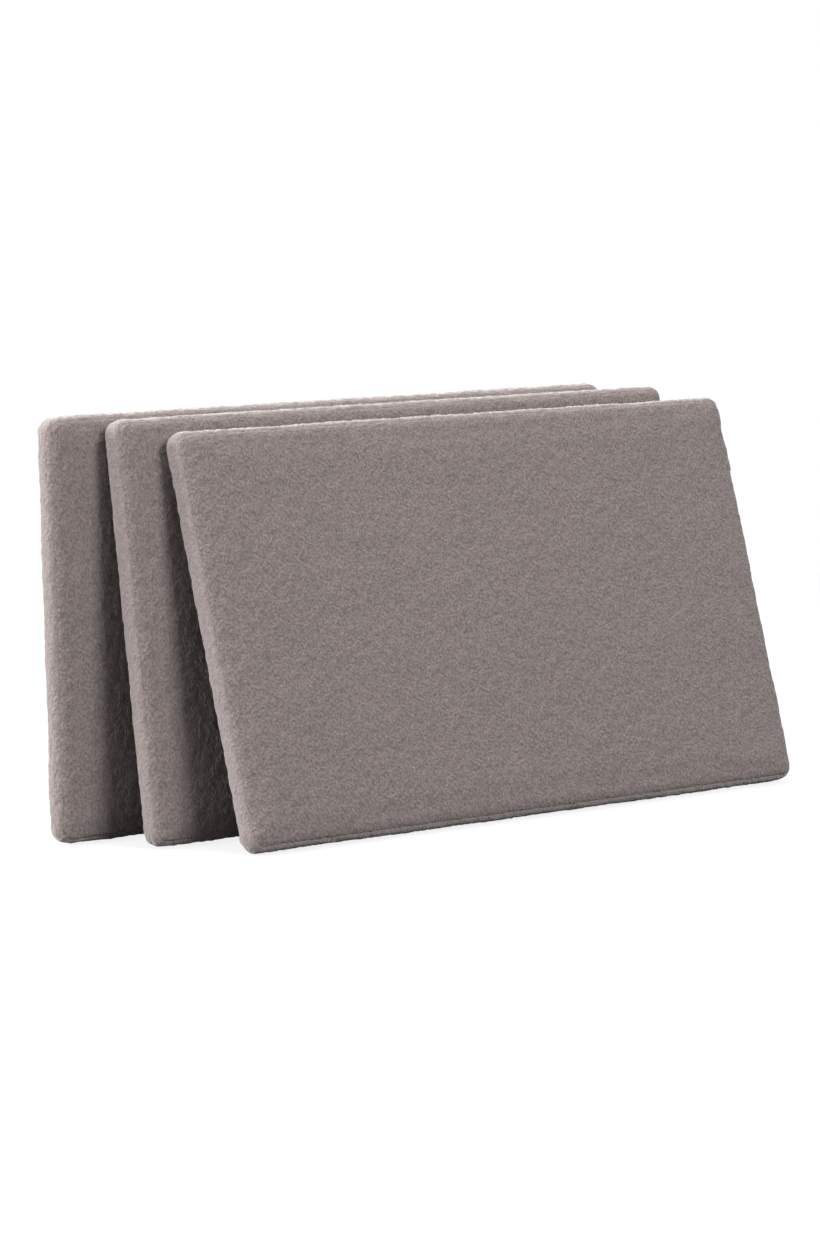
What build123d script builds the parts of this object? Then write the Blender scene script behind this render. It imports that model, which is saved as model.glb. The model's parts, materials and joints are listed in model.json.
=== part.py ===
"""A set of three plush covered foam pads, standing on their long edges and leaning on each other.

Every pad is the same: a foam core in a thin liner, inside a cover sewn from two face panels and
a side band, with a zip along the right short side. One pad is modelled once, in its own frame,
and is then set down three times: front, middle and back.

Frame of one pad: X along its length, Y from its front face to its back face, Z up its height.
Frame of the row: +X along the pads, +Y from the front pad to the back pad, +Z up. The origin is
on the floor, under the middle of the row's box. Millimetres.
"""

from build123d import *
import os
from math import cos, radians, sin, sqrt, tan

# --- Sizes of one pad -----------------------------------------------------------------------
PAD_LENGTH = 700.0
PAD_HEIGHT = 400.0
PAD_THICKNESS = 30.0
CORNER_RADIUS = 15.0          # the four corners, seen from the front
EDGE_RADIUS = 13.0            # the rims round both faces

COVER_WALL = 3.0              # backing and pile together
CORE_ROOM = 1.0               # slack between the cover and the liner
LINER_WALL = 0.6
LINER_MOUTH = 10.0            # how far the liner stops short of the core's zip end
ZIP_END_ROOM = 3.0            # extra room at the zip end, for the lower half of the slider

SEAM_SETBACK = 4.0            # from a face to the plane of its seam
SEAM_THREAD_RADIUS = 0.8

# --- Sizes of the zip -----------------------------------------------------------------------
ZIP_MARGIN = 40.0             # from the pad's bottom and top to the ends of the zip opening
ZIP_OPENING_WIDTH = 12.0      # between the two strips of plush beside the zip
TAPE_DEPTH = 2.2              # from the side's outer plane down to the tape
TAPE_THICKNESS = 0.7
TAPE_HEM = 2.0                # how far a tape runs into the strip it is sewn to
CHAIN_SLOT = 1.2              # the gap between the two rows of teeth, where the slider's neck runs
TOOTH_ROW_WIDTH = 2.4
TOOTH_SPINE_WIDTH = 1.0
TOOTH_HEIGHT = 1.8
TOOTH_PITCH = 3.0
TOOTH_WIDTH = 1.6
CHAIN_MARGIN = 8.0            # from the ends of the opening to the ends of the teeth
TOP_STOP_LENGTH = 3.0
BOTTOM_STOP_LENGTH = 4.0

RUN_CLEARANCE = 0.3           # between the slider and what it slides along
SLIDER_LENGTH = 11.0
SLIDER_PLATE = 1.2
SLIDER_CHEEK = 1.1
SLIDER_TAIL_TAPER = 1.2
SLIDER_SHOE = 1.0             # the lower plate, under the tapes
SLIDER_SHOE_WIDTH = 7.0
SLIDER_NECK_WIDTH = 0.7
SLIDER_NECK_LENGTH = 5.0

PULL_PIN_RADIUS = 0.6
PULL_PIN_CLEARANCE = 0.1
PULL_PIN_RISE = 1.5           # from the slider's plate to the pin's axis
LOOP_WALL = 0.7
LOOP_WIDTH = 1.6
PULL_WIDTH = 5.2
PULL_LENGTH = 26.0
PULL_THICKNESS = 1.4
PULL_OFFSET = 0.2             # the tab's middle plane stands this far outside the pin's axis
PULL_HEAD = 1.0               # how far the tab's fork runs past the pin
PULL_FORK_DEPTH = 5.0
PULL_FORK_CLEARANCE = 0.3
PULL_EYE_RADIUS = 1.1
PULL_EYE_MARGIN = 2.6         # from the tab's tail to the middle of its eye

# --- How the pads stand ---------------------------------------------------------------------
PAD_CLEARANCE = 0.3           # between a pad and the one that it leans on
FRONT_LEAN = 17.1             # degrees back from upright
MIDDLE_LEAN = 8.6
BACK_LEAN = 2.2
FRONT_TURN = 0.0              # degrees about the vertical, right end to the back
MIDDLE_TURN = 0.3
BACK_TURN = 0.4
MIDDLE_STEP = 46.0            # how far the middle pad stands to the left of the front pad
BACK_STEP = 55.0              # and the back pad to the left of the middle pad

# --- What follows from them -----------------------------------------------------------------
SIDE = PAD_LENGTH / 2                     # the plane of the zip's side
MID_DEPTH = PAD_THICKNESS / 2
ZIP_LOW = ZIP_MARGIN
ZIP_LENGTH = PAD_HEIGHT - 2 * ZIP_MARGIN
CHAIN_LOW = ZIP_LOW + CHAIN_MARGIN
CHAIN_HIGH = ZIP_LOW + ZIP_LENGTH - CHAIN_MARGIN
TOOTH_INNER = CHAIN_SLOT / 2              # distances from the zip's middle line
TOOTH_ROOT = TOOTH_INNER + TOOTH_ROW_WIDTH - TOOTH_SPINE_WIDTH
TOOTH_OUTER = TOOTH_INNER + TOOTH_ROW_WIDTH
TAPE_TOP = SIDE - TAPE_DEPTH
TEETH_TOP = TAPE_TOP + TOOTH_HEIGHT
CORE_INSET = COVER_WALL + CORE_ROOM + LINER_WALL

SLIDER_LOW = CHAIN_HIGH - RUN_CLEARANCE - SLIDER_LENGTH
SLIDER_MID = SLIDER_LOW + SLIDER_LENGTH / 2
SLIDER_TRAVEL = SLIDER_LOW - CHAIN_LOW - RUN_CLEARANCE
SLIDER_HALF_WIDTH = TOOTH_OUTER + RUN_CLEARANCE + SLIDER_CHEEK
PLATE_LOW = TEETH_TOP + RUN_CLEARANCE
PLATE_TOP = PLATE_LOW + SLIDER_PLATE
SHOE_TOP = TAPE_TOP - TAPE_THICKNESS - RUN_CLEARANCE
PIN_OUT = PLATE_TOP + PULL_PIN_RISE
PIN_HOLE_RADIUS = PULL_PIN_RADIUS + PULL_PIN_CLEARANCE

FRONT_SEAM = Plane.XZ.offset(-SEAM_SETBACK)
BACK_SEAM = Plane.XZ.offset(SEAM_SETBACK - PAD_THICKNESS)


def slab(inset: float, end_room: float = 0.0) -> Part:
    """The pad's rounded shape, shrunk by an inset all round and by some room at the zip end."""
    with BuildPart() as body:
        with BuildSketch(Plane.XZ.offset(-inset)) as face:
            with Locations((-end_room / 2, PAD_HEIGHT / 2)):
                RectangleRounded(
                    PAD_LENGTH - 2 * inset - end_room,
                    PAD_HEIGHT - 2 * inset,
                    CORNER_RADIUS - inset,
                )
        extrude(amount=-(PAD_THICKNESS - 2 * inset))
        rims = body.faces().filter_by(Axis.Y).edges()
        fillet(rims, radius=EDGE_RADIUS - inset)
    return body.part


def seam_thread(seam_plane: Plane) -> Part:
    """A closed loop of thread that lies on the cover's rim in the plane of a seam."""
    drop = EDGE_RADIUS - SEAM_SETBACK
    inset = EDGE_RADIUS - sqrt(EDGE_RADIUS**2 - drop**2)
    with BuildSketch(seam_plane) as outline:
        with Locations((0, PAD_HEIGHT / 2)):
            RectangleRounded(
                PAD_LENGTH - 2 * inset, PAD_HEIGHT - 2 * inset, CORNER_RADIUS - inset
            )
    route = outline.sketch.face().outer_wire()
    with BuildPart() as thread:
        with BuildSketch(Plane(origin=route @ 0, z_dir=route % 0)):
            Circle(SEAM_THREAD_RADIUS)
        sweep(path=route)
    return thread.part


def zip_block(low_x: float, high_x: float, low_y: float, high_y: float) -> Part:
    """A block as long as the zip opening, between two depths and two distances from the front."""
    with BuildPart() as block:
        with BuildSketch(Plane.XY.offset(ZIP_LOW)):
            with Locations((low_x, low_y)):
                Rectangle(high_x - low_x, high_y - low_y, align=(Align.MIN, Align.MIN))
        extrude(amount=ZIP_LENGTH)
    return block.part


def zip_tape(side: int) -> Part:
    """One tape of the zip: side is -1 towards the front face and +1 towards the back face."""
    inner = MID_DEPTH + side * TOOTH_INNER
    outer = MID_DEPTH + side * (ZIP_OPENING_WIDTH / 2 + TAPE_HEM)
    return zip_block(TAPE_TOP - TAPE_THICKNESS, TAPE_TOP, min(inner, outer), max(inner, outer))


def tooth_row(side: int) -> Part:
    """One row of teeth on its tape, as a comb whose teeth point to the zip's middle line."""
    count = int((CHAIN_HIGH - CHAIN_LOW) / TOOTH_PITCH)
    row_low = CHAIN_HIGH - count * TOOTH_PITCH
    comb = [(MID_DEPTH + side * TOOTH_OUTER, row_low)]
    for index in range(count):
        low = row_low + index * TOOTH_PITCH
        comb += [
            (MID_DEPTH + side * TOOTH_INNER, low),
            (MID_DEPTH + side * TOOTH_INNER, low + TOOTH_WIDTH),
            (MID_DEPTH + side * TOOTH_ROOT, low + TOOTH_WIDTH),
            (MID_DEPTH + side * TOOTH_ROOT, low + TOOTH_PITCH),
        ]
    comb.append((MID_DEPTH + side * TOOTH_OUTER, CHAIN_HIGH))
    with BuildPart() as row:
        with BuildSketch(Plane.YZ.offset(TAPE_TOP)):
            with BuildLine():
                Polyline(*comb, close=True)
            make_face()
        extrude(amount=TOOTH_HEIGHT)
    return row.part


# --- Core and liner -------------------------------------------------------------------------
with BuildPart() as foam_core:
    add(slab(CORE_INSET, ZIP_END_ROOM))

with BuildPart() as core_liner:
    add(slab(CORE_INSET - LINER_WALL, ZIP_END_ROOM))
    add(foam_core.part, mode=Mode.SUBTRACT)
    with BuildSketch(Plane.YZ.offset(SIDE - CORE_INSET - ZIP_END_ROOM - LINER_MOUTH)):
        with Locations((MID_DEPTH, PAD_HEIGHT / 2)):
            Rectangle(PAD_THICKNESS, PAD_HEIGHT)
    extrude(amount=LINER_MOUTH + CORE_INSET, mode=Mode.SUBTRACT)

# --- Cover ----------------------------------------------------------------------------------
with BuildPart() as front_seam_thread:
    add(seam_thread(FRONT_SEAM))

with BuildPart() as back_seam_thread:
    add(seam_thread(BACK_SEAM))

with BuildPart() as cover_shell:
    add(slab(0.0))
    add(slab(COVER_WALL), mode=Mode.SUBTRACT)
    add(front_seam_thread.part, mode=Mode.SUBTRACT)
    add(back_seam_thread.part, mode=Mode.SUBTRACT)

with BuildPart() as cover_front_panel:
    add(cover_shell.part)
    split(bisect_by=FRONT_SEAM, keep=Keep.TOP)

with BuildPart() as cover_back_panel:
    add(cover_shell.part)
    split(bisect_by=BACK_SEAM, keep=Keep.BOTTOM)

with BuildPart() as band_ring:
    add(cover_shell.part)
    split(bisect_by=FRONT_SEAM, keep=Keep.BOTTOM)
    split(bisect_by=BACK_SEAM, keep=Keep.TOP)

with BuildPart() as cover_side_band:
    add(band_ring.part)
    add(zip_block(SIDE - CORNER_RADIUS, SIDE, 0, PAD_THICKNESS), mode=Mode.SUBTRACT)

with BuildPart() as zip_band_front:
    add(zip_block(SIDE - CORNER_RADIUS, SIDE, 0, MID_DEPTH - ZIP_OPENING_WIDTH / 2))
    add(band_ring.part, mode=Mode.INTERSECT)
    add(zip_tape(-1), mode=Mode.SUBTRACT)

with BuildPart() as zip_band_back:
    add(zip_block(SIDE - CORNER_RADIUS, SIDE, MID_DEPTH + ZIP_OPENING_WIDTH / 2, PAD_THICKNESS))
    add(band_ring.part, mode=Mode.INTERSECT)
    add(zip_tape(1), mode=Mode.SUBTRACT)

# --- Zip ------------------------------------------------------------------------------------
with BuildPart() as zip_tape_front:
    add(zip_tape(-1))

with BuildPart() as zip_tape_back:
    add(zip_tape(1))

with BuildPart() as zip_teeth_front:
    add(tooth_row(-1))

with BuildPart() as zip_teeth_back:
    add(tooth_row(1))

with BuildPart() as zip_stops:
    with BuildSketch(Plane.YZ.offset(TAPE_TOP)):
        for stop_side in (-1, 1):
            with Locations((MID_DEPTH + stop_side * (TOOTH_INNER + TOOTH_OUTER) / 2, CHAIN_HIGH)):
                Rectangle(TOOTH_ROW_WIDTH, TOP_STOP_LENGTH, align=(Align.CENTER, Align.MIN))
        with Locations((MID_DEPTH, CHAIN_LOW)):
            Rectangle(2 * TOOTH_OUTER, BOTTOM_STOP_LENGTH, align=(Align.CENTER, Align.MAX))
    extrude(amount=TOOTH_HEIGHT)

with BuildPart() as zip_slider:
    with BuildSketch(Plane.YZ.offset(TAPE_TOP + RUN_CLEARANCE)):
        with BuildLine():
            tail = SLIDER_HALF_WIDTH - SLIDER_TAIL_TAPER
            shoulder = SLIDER_LOW + SLIDER_LENGTH / 3
            Polyline(
                (MID_DEPTH - tail, SLIDER_LOW),
                (MID_DEPTH + tail, SLIDER_LOW),
                (MID_DEPTH + SLIDER_HALF_WIDTH, shoulder),
                (MID_DEPTH + SLIDER_HALF_WIDTH, SLIDER_LOW + SLIDER_LENGTH),
                (MID_DEPTH - SLIDER_HALF_WIDTH, SLIDER_LOW + SLIDER_LENGTH),
                (MID_DEPTH - SLIDER_HALF_WIDTH, shoulder),
                close=True,
            )
        make_face()
    extrude(amount=PLATE_TOP - TAPE_TOP - RUN_CLEARANCE)
    with BuildSketch(Plane.YZ.offset(TAPE_TOP)):
        with Locations((MID_DEPTH, SLIDER_MID)):
            Rectangle(2 * (TOOTH_OUTER + RUN_CLEARANCE), SLIDER_LENGTH)
    extrude(amount=PLATE_LOW - TAPE_TOP, mode=Mode.SUBTRACT)
    with BuildSketch(Plane.YZ.offset(SHOE_TOP)):
        with Locations((MID_DEPTH, SLIDER_MID)):
            Rectangle(SLIDER_SHOE_WIDTH, SLIDER_LENGTH)
    extrude(amount=-SLIDER_SHOE)
    with BuildSketch(Plane.YZ.offset(SHOE_TOP)):
        with Locations((MID_DEPTH, SLIDER_MID)):
            Rectangle(SLIDER_NECK_WIDTH, SLIDER_NECK_LENGTH)
    extrude(amount=PLATE_LOW - SHOE_TOP)
    with BuildSketch(Plane.XZ.offset(-MID_DEPTH)):
        loop_radius = PIN_HOLE_RADIUS + LOOP_WALL
        with Locations((PIN_OUT, SLIDER_MID)):
            Circle(loop_radius)
        with Locations((PLATE_TOP, SLIDER_MID)):
            Rectangle(PULL_PIN_RISE, 2 * loop_radius, align=(Align.MIN, Align.CENTER))
        with Locations((PIN_OUT, SLIDER_MID)):
            Circle(PIN_HOLE_RADIUS, mode=Mode.SUBTRACT)
    extrude(amount=LOOP_WIDTH / 2, both=True)

with BuildPart() as zip_pull:
    with BuildSketch(Plane.YZ.offset(PIN_OUT + PULL_OFFSET - PULL_THICKNESS / 2)):
        with Locations((MID_DEPTH, SLIDER_MID + PULL_HEAD - PULL_LENGTH / 2)):
            RectangleRounded(PULL_WIDTH, PULL_LENGTH, PULL_HEAD)
        with Locations((MID_DEPTH, SLIDER_MID + PULL_HEAD)):
            Rectangle(
                LOOP_WIDTH + 2 * PULL_FORK_CLEARANCE,
                PULL_FORK_DEPTH,
                align=(Align.CENTER, Align.MAX),
                mode=Mode.SUBTRACT,
            )
        with Locations((MID_DEPTH, SLIDER_MID + PULL_HEAD - PULL_LENGTH + PULL_EYE_MARGIN)):
            Circle(PULL_EYE_RADIUS, mode=Mode.SUBTRACT)
    extrude(amount=PULL_THICKNESS)
    with BuildSketch(Plane.XZ.offset(-MID_DEPTH)):
        with Locations((PIN_OUT, SLIDER_MID)):
            Circle(PULL_PIN_RADIUS)
    extrude(amount=PULL_WIDTH / 2, both=True)

PIECES = {
    "foam_core": foam_core,
    "core_liner": core_liner,
    "cover_front_panel": cover_front_panel,
    "cover_back_panel": cover_back_panel,
    "cover_side_band": cover_side_band,
    "front_seam_thread": front_seam_thread,
    "back_seam_thread": back_seam_thread,
    "zip_band_front": zip_band_front,
    "zip_band_back": zip_band_back,
    "zip_tape_front": zip_tape_front,
    "zip_tape_back": zip_tape_back,
    "zip_teeth_front": zip_teeth_front,
    "zip_teeth_back": zip_teeth_back,
    "zip_stops": zip_stops,
    "zip_slider": zip_slider,
    "zip_pull": zip_pull,
}


# --- Setting the three pads down ------------------------------------------------------------
def rise(lean: float) -> float:
    """How far a leaning pad's lower back corner point stands up, so that its rim meets z = 0."""
    angle = radians(lean)
    return EDGE_RADIUS + (PAD_THICKNESS - EDGE_RADIUS) * sin(angle) - EDGE_RADIUS * cos(angle)


def next_foot(foot_y: float, lean: float, back_lean: float, wedge: float) -> float:
    """Where the next pad's front foot line is, for this pad's top back rim to rest on its face."""
    angle = radians(lean)
    back_angle = radians(back_lean)
    rim_y = foot_y + (PAD_THICKNESS - EDGE_RADIUS) * cos(angle)
    rim_y += (PAD_HEIGHT - EDGE_RADIUS) * sin(angle)
    rim_z = rise(lean) - (PAD_THICKNESS - EDGE_RADIUS) * sin(angle)
    rim_z += (PAD_HEIGHT - EDGE_RADIUS) * cos(angle)
    reach = EDGE_RADIUS + PAD_CLEARANCE - (rim_z - rise(back_lean)) * sin(back_angle)
    return rim_y + reach / cos(back_angle) + wedge


def wedge_room(turn: float, back_turn: float, step: float) -> float:
    """Extra room at the middle, when two pads that are turned differently meet at one end."""
    slope = tan(radians(turn))
    back_slope = tan(radians(back_turn))
    return abs(PAD_LENGTH / 2 * (back_slope - slope) - step * back_slope)


def standing(x: float, foot_y: float, lean: float, turn: float) -> Location:
    """A pad's place: leaned back about its front foot line, turned, and set on the floor."""
    turned = Location((x, foot_y, rise(lean)), (0, 0, turn))
    return turned * Location((0, 0, 0), (-lean, 0, 0))


middle_foot = next_foot(
    0.0, FRONT_LEAN, MIDDLE_LEAN, wedge_room(FRONT_TURN, MIDDLE_TURN, MIDDLE_STEP)
)
back_foot = next_foot(
    middle_foot, MIDDLE_LEAN, BACK_LEAN, wedge_room(MIDDLE_TURN, BACK_TURN, BACK_STEP)
)
PLACES = {
    "front_pad": standing(0.0, 0.0, FRONT_LEAN, FRONT_TURN),
    "middle_pad": standing(-MIDDLE_STEP, middle_foot, MIDDLE_LEAN, MIDDLE_TURN),
    "back_pad": standing(-MIDDLE_STEP - BACK_STEP, back_foot, BACK_LEAN, BACK_TURN),
}

# The row's origin is on the floor, under the middle of its box. Only the outermost pieces of a
# pad can set that box.
outermost = ("cover_front_panel", "cover_back_panel", "cover_side_band", "zip_slider", "zip_pull")
reach = Compound(
    children=[PIECES[name].part.moved(place) for place in PLACES.values() for name in outermost]
)
middle = reach.bounding_box().center()
CENTRING = Location((-middle.X, -middle.Y, 0))

os.makedirs("parts", exist_ok=True)
for pad_name, place in PLACES.items():
    for piece_name, piece in PIECES.items():
        node = piece.part.moved(CENTRING * place)
        node.label = f"{pad_name}_{piece_name}"
        export_step(node, f"parts/{node.label}.step")
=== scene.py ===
"""Looks of a row of three plush covered foam pads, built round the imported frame.

Each pad is made in its own frame first: X along its length, Y from its front face to its back
face, Z up its height, metres, with the origin on the floor line under the middle of its front
face. It is then laid where the frame's joints say that pad stands.
"""

import json
import logging
from contextlib import contextmanager
from dataclasses import dataclass
from enum import Enum
from typing import Callable, Iterator, Sequence

import bmesh
import bpy
import numpy as np
from mathutils import Matrix, Vector


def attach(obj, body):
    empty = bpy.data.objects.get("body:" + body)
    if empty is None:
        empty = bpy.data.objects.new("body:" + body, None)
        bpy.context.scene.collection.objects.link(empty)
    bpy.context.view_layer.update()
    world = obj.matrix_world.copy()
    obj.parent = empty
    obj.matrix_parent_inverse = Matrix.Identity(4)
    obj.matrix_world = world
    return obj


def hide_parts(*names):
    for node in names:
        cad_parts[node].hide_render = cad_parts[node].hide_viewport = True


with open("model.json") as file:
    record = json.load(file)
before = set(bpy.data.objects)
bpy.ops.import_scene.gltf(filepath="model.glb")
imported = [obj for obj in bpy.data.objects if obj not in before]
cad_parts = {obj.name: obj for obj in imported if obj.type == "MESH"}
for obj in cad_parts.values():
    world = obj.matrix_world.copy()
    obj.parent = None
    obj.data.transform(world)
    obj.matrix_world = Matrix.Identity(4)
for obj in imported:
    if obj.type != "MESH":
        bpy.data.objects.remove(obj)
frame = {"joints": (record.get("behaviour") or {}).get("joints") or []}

LOG = logging.getLogger("pads")

# Places nearer to a plane than this lie on it, in metres.
TOUCH = 1e-5


# --- Working by hand in Blender ---------------------------------------------------------------


def pick(*objects: bpy.types.Object) -> None:
    """Selects these objects only, and makes the last one active.

    Args:
        objects: The objects to work on.
    """
    if bpy.context.mode != "OBJECT":
        bpy.ops.object.mode_set(mode="OBJECT")
    bpy.ops.object.select_all(action="DESELECT")
    for item in objects:
        item.select_set(True)
        bpy.context.view_layer.objects.active = item


def named(obj: bpy.types.Object, name: str) -> bpy.types.Object:
    """Names an object and its mesh, and returns the object."""
    obj.name = obj.data.name = name
    return obj


@contextmanager
def editing(obj: bpy.types.Object, kind: str = "FACE") -> Iterator[None]:
    """Opens an object in edit mode with nothing selected, and closes it again.

    Args:
        obj: The object to edit.
        kind: VERT, EDGE or FACE, what is selected.
    """
    pick(obj)
    bpy.ops.object.mode_set(mode="EDIT")
    bpy.ops.mesh.select_mode(type=kind)
    bpy.ops.mesh.select_all(action="DESELECT")
    yield
    bpy.ops.object.mode_set(mode="OBJECT")


def choose(obj: bpy.types.Object, kind: str, test: Callable[[object], bool]) -> None:
    """Selects the vertices, edges or faces that pass a test, in edit mode.

    Args:
        obj: The object in edit mode.
        kind: verts, edges or faces.
        test: Says of one element whether it is selected.
    """
    mesh = bmesh.from_edit_mesh(obj.data)
    for item in getattr(mesh, kind):
        item.select_set(bool(test(item)))
    mesh.select_flush_mode()
    bmesh.update_edit_mesh(obj.data)


def slice_at(point: Sequence[float], normal: Sequence[float]) -> None:
    """Cuts all of the mesh in edit mode along a plane, and keeps both sides.

    Args:
        point: A point of the plane.
        normal: The plane's normal.
    """
    bpy.ops.mesh.select_all(action="SELECT")
    bpy.ops.mesh.bisect(plane_co=point, plane_no=normal)


def add_block(name: str, low: Sequence[float], high: Sequence[float]) -> bpy.types.Object:
    """Adds a block between two corners, with its place in its mesh.

    Args:
        name: The new piece's name.
        low: The lowest corner.
        high: The highest corner.

    Returns:
        The new object, the only one selected.
    """
    pick()
    middle = [(a + b) / 2 for a, b in zip(low, high)]
    bpy.ops.mesh.primitive_cube_add(size=1, location=middle)
    block = bpy.context.object
    block.scale = [b - a for a, b in zip(low, high)]
    bpy.ops.object.transform_apply(location=True, rotation=True, scale=True)
    return named(block, name)


def apply_modifier(obj: bpy.types.Object, name: str) -> None:
    """Applies one modifier of an object for good."""
    pick(obj)
    bpy.ops.object.modifier_apply(modifier=name)


def smooth_over(obj: bpy.types.Object, degrees: float = 180.0) -> None:
    """Shades an object smooth, apart from edges sharper than an angle."""
    pick(obj)
    bpy.ops.object.shade_smooth_by_angle(angle=np.radians(degrees))


def places(obj: bpy.types.Object) -> np.ndarray:
    """Returns the places of an object's vertices, one row each."""
    flat = np.empty(len(obj.data.vertices) * 3)
    obj.data.vertices.foreach_get("co", flat)
    return flat.reshape(-1, 3)


def put(obj: bpy.types.Object, spots: np.ndarray) -> None:
    """Moves an object's vertices to new places, one row each."""
    obj.data.vertices.foreach_set("co", np.ascontiguousarray(spots).ravel())
    obj.data.update()


def outward(obj: bpy.types.Object) -> np.ndarray:
    """Returns the normals of an object's vertices, one row each."""
    flat = np.empty(len(obj.data.vertices) * 3)
    obj.data.vertex_normals.foreach_get("vector", flat)
    return flat.reshape(-1, 3)


def ripple(spots: np.ndarray, cell: Sequence[float], seed: int) -> np.ndarray:
    """Smooth noise in space, the same on every run.

    Args:
        spots: Places, one row each.
        cell: The size of the noise's lumps along X, Y and Z.
        seed: Which noise.

    Returns:
        One number from -1 to 1 for each place.
    """
    scaled = spots / np.asarray(cell) + 57.31 * seed
    corner = np.floor(scaled).astype(np.int64)
    part = scaled - corner
    part = part * part * part * (part * (part * 6 - 15) + 10)
    total = np.zeros(len(spots))
    for step in np.ndindex(2, 2, 2):
        key = corner + np.array(step)
        mixed = key[:, 0] * 73856093 ^ key[:, 1] * 19349663
        mixed = mixed ^ key[:, 2] * 83492791 ^ seed * 2654435761
        mixed = (mixed ^ (mixed >> 13)) * 1274126177 & 0x7FFFFFFF
        mixed = (mixed ^ (mixed >> 15)) & 0xFFFFF
        share = np.prod(np.where(np.array(step) == 1, part, 1 - part), axis=1)
        total += share * (mixed / 0x7FFFF - 1.0)
    return total


# --- Finishes ---------------------------------------------------------------------------------


def fill(node: bpy.types.Node, values: dict[str, object]) -> None:
    """Sets a node's inputs by their names."""
    for name, value in values.items():
        node.inputs[name].default_value = value


class Nodes:
    """A material's nodes, added and joined one at a time."""

    def __init__(self, name: str) -> None:
        """Starts a material with one principled shader.

        Args:
            name: The material's name.
        """
        self.material = bpy.data.materials.new(name)
        self.material.use_nodes = True
        self.tree = self.material.node_tree
        self.shader = self.tree.nodes["Principled BSDF"]

    def add(self, kind: str, **settings: object) -> bpy.types.Node:
        """Adds a node and sets its properties.

        Args:
            kind: The node's type.
            settings: Its properties by name.

        Returns:
            The node.
        """
        node = self.tree.nodes.new(kind)
        for key, value in settings.items():
            setattr(node, key, value)
        return node

    def join(self, source: bpy.types.NodeSocket, target: bpy.types.NodeSocket) -> None:
        """Links an output to an input."""
        self.tree.links.new(source, target)

    def scale_by(self, size: Sequence[float], texture: bpy.types.Node) -> None:
        """Feeds a texture the object's own coordinates, so that its lumps have a size.

        Args:
            size: The lumps' size along X, Y and Z, in metres.
            texture: The texture's node.
        """
        where = self.add("ShaderNodeTexCoord")
        mapping = self.add("ShaderNodeMapping")
        mapping.inputs["Scale"].default_value = [1 / s for s in size]
        self.join(where.outputs["Object"], mapping.inputs["Vector"])
        self.join(mapping.outputs["Vector"], texture.inputs["Vector"])

    def grain(
        self, size: Sequence[float], detail: float, rough: float = 0.5
    ) -> bpy.types.NodeSocket:
        """Adds noise in space with lumps of a size.

        Args:
            size: The lumps' size along X, Y and Z, in metres.
            detail: How many finer layers lie over it.
            rough: How strong the finer layers are.

        Returns:
            The noise's output, about 0.5 on average.
        """
        noise = self.add("ShaderNodeTexNoise")
        fill(noise, {"Scale": 1.0, "Detail": detail, "Roughness": rough})
        self.scale_by(size, noise)
        return noise.outputs["Fac"]

    def tufts(self, size: Sequence[float]) -> bpy.types.NodeSocket:
        """Adds rounded, irregular cells of a size.

        Args:
            size: The cells' size along X, Y and Z, in metres.

        Returns:
            The distance from the nearest middle, in cells.
        """
        cells = self.add("ShaderNodeTexVoronoi", feature="SMOOTH_F1")
        fill(cells, {"Scale": 1.0, "Smoothness": 0.4, "Randomness": 1.0})
        self.scale_by(size, cells)
        return cells.outputs["Distance"]

    def sum_up(self, *terms: tuple[bpy.types.NodeSocket, float]) -> bpy.types.NodeSocket:
        """Adds outputs, each times its own weight.

        Args:
            terms: Pairs of an output and its weight.

        Returns:
            Their weighted sum.
        """
        total: bpy.types.NodeSocket | None = None
        for source, weight in terms:
            node = self.add("ShaderNodeMath", operation="MULTIPLY_ADD")
            self.join(source, node.inputs[0])
            node.inputs[1].default_value = weight
            if total is None:
                node.inputs[2].default_value = 0.0
            else:
                self.join(total, node.inputs[2])
            total = node.outputs[0]
        return total

    def ramp(
        self, source: bpy.types.NodeSocket, stops: Sequence[tuple[float, Sequence[float]]]
    ) -> bpy.types.NodeSocket:
        """Turns a number into colours.

        Args:
            source: The number.
            stops: Pairs of a place on the ramp and its colour.

        Returns:
            The colour output.
        """
        node = self.add("ShaderNodeValToRGB")
        marks = node.color_ramp.elements
        while len(marks) < len(stops):
            marks.new(0.5)
        for mark, (place, colour) in zip(marks, stops):
            mark.position = place
            mark.color = (*colour, 1.0)
        self.join(source, node.inputs["Fac"])
        return node.outputs["Color"]

    def dress(
        self,
        colour: bpy.types.NodeSocket,
        height: bpy.types.NodeSocket,
        depth: float,
        strength: float,
    ) -> None:
        """Gives the shader its colour and its relief.

        Args:
            colour: The colour output.
            height: The relief's height output.
            depth: How deep the relief is, in metres.
            strength: How strongly the relief shows.
        """
        self.join(colour, self.shader.inputs["Base Color"])
        bump = self.add("ShaderNodeBump")
        fill(bump, {"Strength": strength, "Distance": depth})
        self.join(height, bump.inputs["Height"])
        self.join(bump.outputs["Normal"], self.shader.inputs["Normal"])


def shade(colour: Sequence[float], times: float) -> tuple[float, float, float]:
    """Returns a colour made lighter or darker by a factor."""
    return tuple(min(1.0, c * times) for c in colour)


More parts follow.
